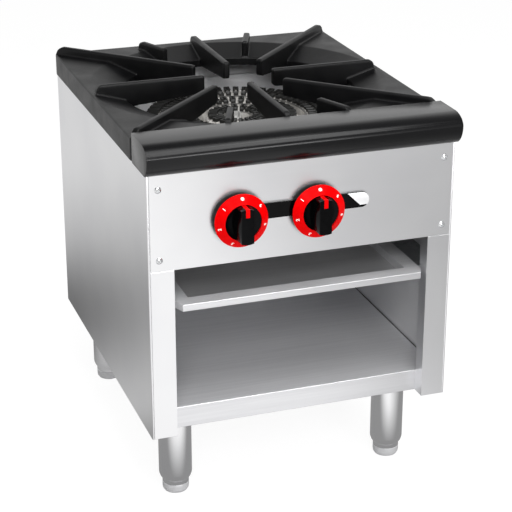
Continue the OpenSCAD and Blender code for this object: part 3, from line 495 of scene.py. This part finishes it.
def knob_grip(centre, foot_y, face_y):
    """A bar grip: barrel-shaped at its foot, straight at its face."""
    wide, tall, bulge = 18 * MM, 52 * MM, 1.7
    middle = (centre.x, (foot_y + face_y) / 2, centre.z)
    grip = block("grip", middle, (wide, foot_y - face_y, tall))
    bpy.ops.object.mode_set(mode="EDIT")
    bpy.ops.mesh.select_all(action="SELECT")
    bpy.ops.mesh.subdivide(number_cuts=11)
    bpy.ops.object.mode_set(mode="OBJECT")
    rows = sorted({round(v.co.z, 5) for v in grip.data.vertices})
    depths = sorted({round(v.co.y, 5) for v in grip.data.vertices})
    same = 0.02 * MM
    for z in rows:
        for y in depths:
            towards_foot = (y - face_y) / (foot_y - face_y)
            along = (z - centre.z) / (tall / 2)
            wider = 1 + (bulge - 1) * (1 - along * along) * towards_foot
            if wider < 1.002:
                continue
            select_verts(grip, lambda co, z=z, y=y: abs(co.z - z) < same and abs(co.y - y) < same)
            bpy.ops.transform.resize(value=(wider, 1, 1), center_override=middle)
    bpy.ops.object.mode_set(mode="OBJECT")
    return grip


def knob_base(centre, radius, back_y, face_y):
    """The round base that the grip stands on. Its face falls in two steps towards the grip."""
    base = round_bar("base", (centre.x, (back_y + face_y) / 2, centre.z), radius, back_y - face_y)
    bpy.ops.object.mode_set(mode="EDIT")
    select_faces_facing(base, FRONT)
    for inset, fall in ((2.2 * MM, 1.1 * MM), (4 * MM, 0.5 * MM)):
        bpy.ops.mesh.inset(thickness=inset)
        bpy.ops.transform.translate(value=(0, fall, 0))
    bpy.ops.object.mode_set(mode="OBJECT")
    round_edges(base, 0.5 * MM, 3, 25)
    return base


def knob(side):
    """The whole knob: round base, back hub and grip, on the knob's own body."""
    low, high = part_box("knob_" + side)
    centre = (low + high) / 2
    face_y = low.y
    base_back, base_face = -14.3 * MM + panel_y, -18.3 * MM + panel_y
    base_r, hub_r, sunk = (high.x - low.x) / 2, 9 * MM, 1 * MM
    base = knob_base(centre, base_r, base_back, base_face)
    hub = round_bar("hub", (centre.x, (high.y + base_back - sunk) / 2, centre.z), hub_r,
                    high.y - base_back + sunk, 48)
    round_edges(hub, 0.6 * MM, 2, 40)
    grip = knob_grip(centre, base_face + sunk, face_y)
    cut(grip, round_bar("round_cut", (centre.x, face_y, centre.z), base_r - 0.4 * MM, 60 * MM),
        "INTERSECT")
    round_edges(grip, 1.3 * MM, 4, 50)
    whole = smooth(join([base, hub, grip], "knob_" + side + "_body"), 40)
    give(whole, knob_black)
    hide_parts("knob_" + side)
    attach(whole, "knob_" + side)


def pointer(side):
    """A red inlay at the top of the grip's face that runs back over its end."""
    low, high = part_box("knob_" + side)
    middle_x, face_y = (low.x + high.x) / 2, low.y
    wide, thick, proud = 6 * MM, 2 * MM, 0.25 * MM
    top_z = high.z - 0.05 * MM
    front = block("front", (middle_x, face_y + thick / 2 - proud, top_z - 6 * MM),
                  (wide, thick, 12.6 * MM))
    end = block("end", (middle_x, face_y + 9.2 * MM, top_z - thick / 2), (wide, 18.8 * MM, thick))
    mark = join([front, end], "knob_" + side + "_pointer")
    round_edges(mark, 0.4 * MM, 3, 40)
    smooth(mark)
    give(mark, pointer_red)
    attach(mark, "knob_" + side)


for side in ("left", "right"):
    knob(side)
    pointer(side)


# Dial marks

def dial_marks(side):
    """A white dot at the top for off, and plain numbers round the dial, each upright outwards."""
    low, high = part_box("dial_" + side)
    centre = (low + high) / 2
    mark_r, dot_r, steps = 33.5 * MM, 2.6 * MM, 7
    outer_r, inner_r, cone = 38.4 * MM, 26.5 * MM, 9 * MM
    tilt = math.atan2(cone, outer_r - inner_r)
    face_y = low.y + cone * (mark_r - inner_r) / (outer_r - inner_r)
    marks = []
    for i in range(steps):
        angle = 2 * math.pi * i / steps
        place = (centre.x - mark_r * math.sin(angle), face_y - 0.05 * MM,
                 centre.z + mark_r * math.cos(angle))
        deselect()
        if i == 0:
            bpy.ops.mesh.primitive_cylinder_add(vertices=32, radius=dot_r, depth=0.5 * MM)
        else:
            bpy.ops.object.text_add()
            number = bpy.context.object
            number.data.body = str(i)
            number.data.size = 7 * MM
            number.data.align_x = number.data.align_y = "CENTER"
            number.data.extrude = 0.2 * MM
            number.data.offset = 0.18 * MM
            pick(number)
            bpy.ops.object.convert(target="MESH")
        mark = named("mark")
        mark.rotation_euler = (math.pi / 2 - tilt, 0, 0)
        settle(mark)
        mark.rotation_euler = (0, -angle, 0)
        mark.location = place
        settle(mark)
        marks.append(mark)
    whole = join(marks, "dial_" + side + "_marks")
    give(whole, print_white)
    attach(whole, "cabinet")


for side in ("left", "right"):
    dial_marks(side)


# Burner ports

def port_row(name, inner_r, length, width, count):
    """The inner row of raised ports on one burner ring: iron blocks with a pit in the top."""
    low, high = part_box("outer_burner")
    burner_y = high.y - (high.x - low.x) / 2
    tall, sunk, pit = 6.5 * MM, 0.5 * MM, 4.5 * MM
    port = block(name, (inner_r + length / 2, 0, tall / 2 - sunk), (length, width, tall))
    select_faces_facing(port, UP)
    bpy.ops.mesh.inset(thickness=width * 0.27)
    bpy.ops.transform.translate(value=(0, 0, -pit))
    bpy.ops.object.mode_set(mode="OBJECT")
    round_edges(port, 0.5 * MM, 2, 50)
    row = [port]
    for i in range(count):
        if i:
            copy = port.copy()
            copy.data = port.data.copy()
            bpy.context.scene.collection.objects.link(copy)
            row.append(copy)
        row[i].rotation_euler = (0, 0, 2 * math.pi * i / count)
        row[i].location = (0, burner_y, ring_top_z)
    whole = settle(join(row, name))
    smooth(whole)
    give(whole, burner_iron)
    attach(whole, "cabinet")


port_row("outer_ring_inner_ports", 108.5 * MM, 13 * MM, 7.5 * MM, 59)
port_row("middle_ring_inner_ports", 65.8 * MM, 9 * MM, 7 * MM, 37)
port_row("inner_ring_inner_ports", 23.6 * MM, 8.5 * MM, 5.5 * MM, 18)


# Name bar

def bright_tip():
    """The bright plate on the bar's right end. It is cut on the slant and stops above the bar's
    lower edge, which shows as a black line."""
    low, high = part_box("name_bar_tip")
    bar_low, bar_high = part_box("name_bar")
    end_r = (bar_high.z - bar_low.z) / 2
    middle = Vector((bar_high.x - end_r, (low.y + high.y) / 2, bar_low.z + end_r))
    tip = round_bar("name_bar_tip_plate", middle, end_r - 0.3 * MM, high.y - low.y)
    select_verts(tip, lambda co: co.x < middle.x - 0.1 * MM)
    bpy.ops.transform.translate(value=(-50 * MM, 0, 0))
    bpy.ops.object.mode_set(mode="OBJECT")
    ledge_z, slant_x, slant = bar_low.z + 4 * MM, bar_high.x - 14 * MM, math.atan2(16.9, 17.4)
    cutter_size = Vector((0.3, 0.02, 0.1))
    for cut_x, turn in ((middle.x, 0), (slant_x, slant)):
        below = Vector((math.sin(turn), 0, math.cos(turn))) * (-cutter_size.z / 2)
        place = Vector((cut_x, middle.y, ledge_z)) + below
        cut(tip, block("cutter", place, cutter_size, (0, turn, 0)))
    round_edges(tip, 0.35 * MM, 3, 40)
    smooth(tip, 40)
    give(tip, tip_silver)
    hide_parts("name_bar_tip")
    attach(tip, "cabinet")


bright_tip()


# Front rail

def black_rail():
    """The black rail: a flat top that rolls over a round nose and back under it to the panel."""
    low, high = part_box("front_rail")
    middle = (low + high) / 2
    size = high - low
    nose_z, nose_r, top_r, under_r = low.z + 26 * MM, 11 * MM, 40 * MM, 31 * MM
    nose_turn = math.radians(55)
    top_start = nose_r - nose_r * math.cos(nose_turn)
    top_flat = top_start + top_r * math.cos(nose_turn)

    def upper(d):
        """The height of the upper side at a distance behind the nose."""
        if d < top_start:
            return nose_z + math.sqrt(nose_r ** 2 - (nose_r - d) ** 2)
        return high.z - top_r + math.sqrt(top_r ** 2 - (top_flat - min(d, top_flat)) ** 2)

    def lower(d):
        """The height of the lower side at a distance behind the nose."""
        return max(low.z, nose_z - math.sqrt(max(under_r ** 2 - (under_r - d) ** 2, 0)))

    start_y = low.y + top_flat
    rail = block("front_rail_body", (middle.x, (start_y + high.y) / 2, middle.z),
                 (size.x, high.y - start_y, size.z))
    select_faces_facing(rail, FRONT)
    at, tall, level = top_flat, size.z, middle.z
    for station in (25, 22, 19, 16.5, 14, 11.5, 9, 7, 5.4, 4.2, 3.2, 2.3, 1.5, 0.9, 0.45, 0.15,
                    0.03):
        d = station * MM
        top, bottom = upper(d), lower(d)
        bpy.ops.mesh.extrude_region_move(TRANSFORM_OT_translate={"value": (0, d - at, 0)})
        bpy.ops.transform.translate(value=(0, 0, (top + bottom) / 2 - level))
        at, level = d, (top + bottom) / 2
        bpy.ops.transform.resize(value=(1, 1, (top - bottom) / tall), center_override=(0, 0, level))
        tall = top - bottom
    bpy.ops.object.mode_set(mode="OBJECT")
    round_edges(rail, 0.8 * MM, 3, 50)
    wall = 2 * MM
    pocket_front, pocket_back = panel_y + 30 * MM, high.y - wall
    cut(rail, block("pocket", (0, (pocket_front + pocket_back) / 2, low.z + 15 * MM),
                    (size.x - 2 * wall, pocket_back - pocket_front, 52 * MM)))
    smooth(rail)
    give(rail, rail_coat)
    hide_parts("front_rail")
    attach(rail, "cabinet")


black_rail()


# Iron top

def cast_top():
    """The iron top as cast: the CAD solid with sand-rounded edges and fillets at the ribs' feet."""
    node = frame["nodes"]["top_grate"]
    deselect()
    top = node.copy()
    top.data = node.data.copy()
    top.parent = None
    bpy.context.scene.collection.objects.link(top)
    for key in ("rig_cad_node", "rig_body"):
        if key in top:
            del top[key]
    pick(top)
    named("iron_top")
    bpy.ops.object.mode_set(mode="EDIT")
    bpy.ops.mesh.select_all(action="SELECT")
    bpy.ops.mesh.remove_doubles(threshold=0.01 * MM)
    bpy.ops.object.mode_set(mode="OBJECT")
    modify(top, "REMESH", mode="VOXEL", voxel_size=1.3 * MM, adaptivity=0.0)
    modify(top, "SMOOTH", factor=0.5, iterations=2)
    modify(top, "DECIMATE", ratio=0.22)
    pick(top)
    bpy.ops.object.shade_smooth()
    give(top, iron)
    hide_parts("top_grate")
    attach(top, "grate")


cast_top()


# Studio

def ramp(tree, value, stops):
    """Grey levels along a value, as (place, level). A scale of 2 keeps levels above 1."""
    node = add(tree, "ValToRGB", {"Fac": value})
    while len(node.color_ramp.elements) < len(stops):
        node.color_ramp.elements.new(0.5)
    for element, (place, level) in zip(node.color_ramp.elements, stops):
        element.position, element.color = place, (level / 2, level / 2, level / 2, 1)
    return calculate(tree, "MULTIPLY", node.outputs["Color"], 2.0)


def seen_in_steel(tree, rays):
    """1 for what metal mirrors or glass shows, else 0."""
    return calculate(tree, "ADD", rays["Is Glossy Ray"], rays["Is Transmission Ray"], True)


def studio_floor():
    """White paper floor. Seen directly it keeps the range's soft shadow. In the steel it shows as
    paper with painted light and shadow: a painted pool of light brightest at the front left, under
    the lamp, a painted shadow darkest behind the range, and painted shade under the range's front
    and beside it."""
    deselect()
    bpy.ops.mesh.primitive_plane_add(size=24, location=(0, 0, 0))
    floor = named("studio_floor")
    material, tree = finish_named("white_paper")
    place = add(tree, "TexCoord").outputs["Object"]
    axes = add(tree, "SeparateXYZ", {"Vector": place}).outputs
    # Painted light and shadow in the glow that the steel mirrors: a pool of light at the front left,
    # a shadow behind the range.
    painted_light_in_front = ramp(tree, span(tree, axes["X"], -1.0, 1.0),
                    [(0.2, 1.1), (0.47, 1.14), (0.57, 1.2), (0.68, 0.62), (0.83, 0.46)])
    from_shade = add(tree, "VectorMath", {0: place, 1: (-0.25, 0.55, 0)}, operation="DISTANCE")
    behind = ramp(tree, from_shade.outputs["Value"],
                  [(0.08, 0.14), (0.2, 0.28), (0.37, 0.52), (0.8, 0.8)])
    open_floor = blend(tree, span(tree, axes["Y"], -0.45, 0.0), painted_light_in_front, behind)
    # Painted shadow: the glow is dimmed under the range's front and beside it.
    off_middle = calculate(tree, "ABSOLUTE", axes["X"])
    under = calculate(tree, "MULTIPLY", span(tree, off_middle, 0.75, 0.5),
                      span(tree, axes["Y"], -0.38, -0.25))
    under = calculate(tree, "MULTIPLY", under, span(tree, axes["Y"], 0.1, 0.0))
    steel_view = add(tree, "Emission", {"Strength": blend(tree, under, open_floor, 0.33)})
    paper = add(tree, "BsdfDiffuse", {"Color": srgb("#DCDCDC")})
    shaded_paper = add(tree, "BsdfDiffuse", {"Color": srgb("#787878")})
    glow = add(tree, "Emission", {"Strength": 0.9})
    seen_paper = add(tree, "AddShader", {0: shaded_paper.outputs[0], 1: glow.outputs[0]})
    rays = add(tree, "LightPath").outputs
    direct = add(tree, "MixShader", {0: rays["Is Camera Ray"], 1: paper.outputs[0],
                                     2: seen_paper.outputs[0]})
    whole = add(tree, "MixShader", {0: seen_in_steel(tree, rays), 1: direct.outputs[0],
                                    2: steel_view.outputs[0]})
    add(tree, "OutputMaterial", {"Surface": whole.outputs[0]})
    give(floor, material)


def studio_room():
    """A pale room: a white wall behind the range, a dark ceiling, and a greyer side towards the
    camera. What the camera sees of it is plain white."""
    world = bpy.data.worlds.new("pale_room")
    world.use_nodes = True
    tree = world.node_tree
    tree.nodes.clear()
    axes = add(tree, "SeparateXYZ", {"Vector": add(tree, "TexCoord").outputs["Generated"]}).outputs
    wall = ramp(tree, axes["Z"], [(0.0, 1.0), (0.55, 1.0), (0.72, 0.3), (1.0, 0.12)])
    front = ramp(tree, axes["Z"], [(0.0, 0.8), (0.3, 0.7), (0.6, 0.3), (1.0, 0.15)])
    mirrored = blend(tree, span(tree, axes["Y"], -0.1, 0.3), front, wall)
    rays = add(tree, "LightPath").outputs
    level = blend(tree, seen_in_steel(tree, rays), 0.35, mirrored)
    level = blend(tree, rays["Is Camera Ray"], level, 1.0)
    room = add(tree, "Background", {"Color": (1, 1, 1, 1), "Strength": level})
    add(tree, "OutputWorld", {"Surface": room.outputs[0]})
    bpy.context.scene.world = world


def softbox(name, place, aim, size, watts):
    deselect()
    bpy.ops.object.light_add(type="AREA", location=place)
    lamp = named(name)
    lamp.data.shape = "RECTANGLE"
    lamp.data.size, lamp.data.size_y = size
    lamp.data.energy = watts
    lamp.rotation_euler = (Vector(aim) - Vector(place)).to_track_quat("-Z", "Y").to_euler()


studio_floor()
studio_room()
softbox("key_softbox", (0.4, -1.25, 2.45), (0, -0.27, 0.57), (1.8, 1.2), 32)
softbox("front_softbox", (-0.85, -2.5, 1.9), (0, 0, 0.45), (0.9, 0.7), 34)
softbox("low_front_softbox", (0.6, -2.95, 0.85), (0, 0, 0.3), (1.1, 0.7), 24)
softbox("overhead_softbox", (0.0, -0.35, 2.4), (0, -0.1, 0.5), (1.4, 0.9), 14)


# Camera, solved from the photograph

deselect()
bpy.ops.object.camera_add(location=(-0.76453, -1.98963 + panel_y, 1.26087),
                          rotation=(1.18241, 0, -0.33482))
camera = bpy.context.object
camera.name = "photo_camera"
camera.data.sensor_width = 36
camera.data.lens = 114.344
camera.data.clip_start = 0.05
bpy.context.scene.camera = camera
bpy.context.scene.view_settings.view_transform = "Standard"
deselect()
